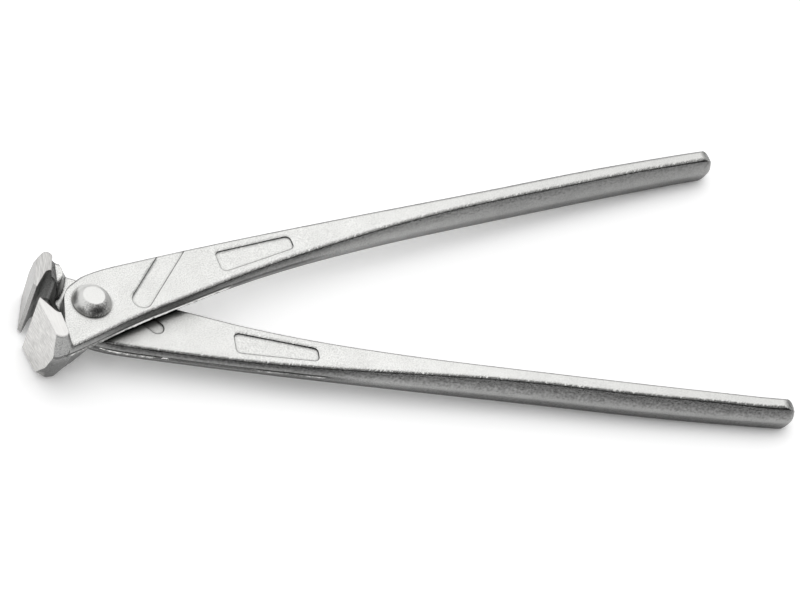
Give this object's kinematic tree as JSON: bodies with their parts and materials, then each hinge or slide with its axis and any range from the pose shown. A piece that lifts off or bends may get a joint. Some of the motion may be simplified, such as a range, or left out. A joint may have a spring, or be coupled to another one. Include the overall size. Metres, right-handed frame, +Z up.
{
  "type": "rebar tying pliers",
  "caption": "Steel fixer's end cutting pliers: two crossed forged halves with broad cutting jaws and long slender handles that turn on a headed rivet.",
  "frame": {"origin": "on the pivot axis, midway between the two lap faces of the joint", "axes": "+X from the pivot towards the handle ends, midway between the handles; +Z up along the pivot axis; +Y towards the handle of the upper half"},
  "size_m": [0.2451, 0.1052, 0.0234],
  "materials": {
    "plated_steel": "forged steel with bright zinc plating, fine grained",
    "rivet_steel": "smooth headed steel, zinc plated"
  },
  "bodies": {
    "lower": {"lower_half": "plated_steel", "pivot_rivet": "rivet_steel"},
    "upper": {"upper_half": "plated_steel"}
  },
  "joints": [
    {"name": "pivot", "type": "hinge", "parent": "lower", "child": "upper", "pos_m": [0, 0, 0], "axis": [0, 0, 1], "range_deg": [-13, 36]}
  ]
}
